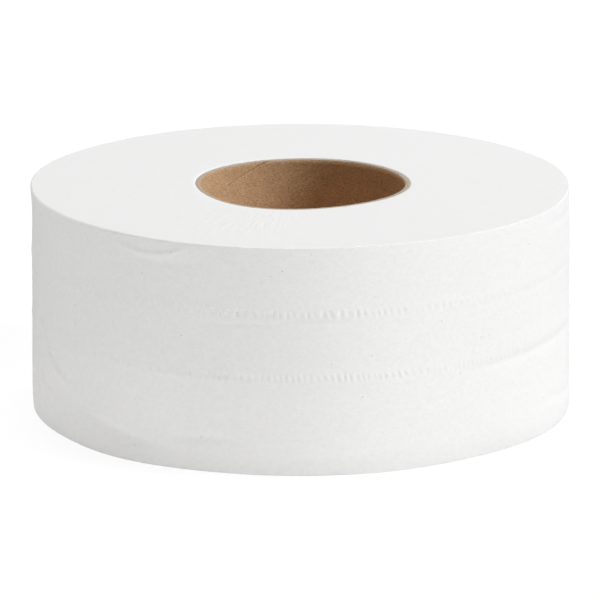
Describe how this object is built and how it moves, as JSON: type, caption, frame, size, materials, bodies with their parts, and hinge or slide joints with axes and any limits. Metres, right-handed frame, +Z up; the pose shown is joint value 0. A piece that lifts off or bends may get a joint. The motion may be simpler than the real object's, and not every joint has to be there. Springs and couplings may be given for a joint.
{
  "type": "toilet paper roll",
  "caption": "Wide jumbo toilet paper roll: a web of white tissue wound on an open kraft paperboard core, standing on its end, with bands of ply-bond crimps round its side.",
  "frame": {"origin": "on the roll's axis, at the plane of its lower end, which it stands on", "axes": "+Z up along the axis of the roll and of its core; -Y towards the side that the picture shows; the web's free end is at the back, 118 degrees from +X"},
  "size_m": [0.2186, 0.2185, 0.09],
  "materials": {
    "tissue": "matte",
    "kraft_board": "matte"
  },
  "bodies": {
    "root": {"tissue_roll": "tissue", "core_tube": "kraft_board"}
  },
  "joints": []
}
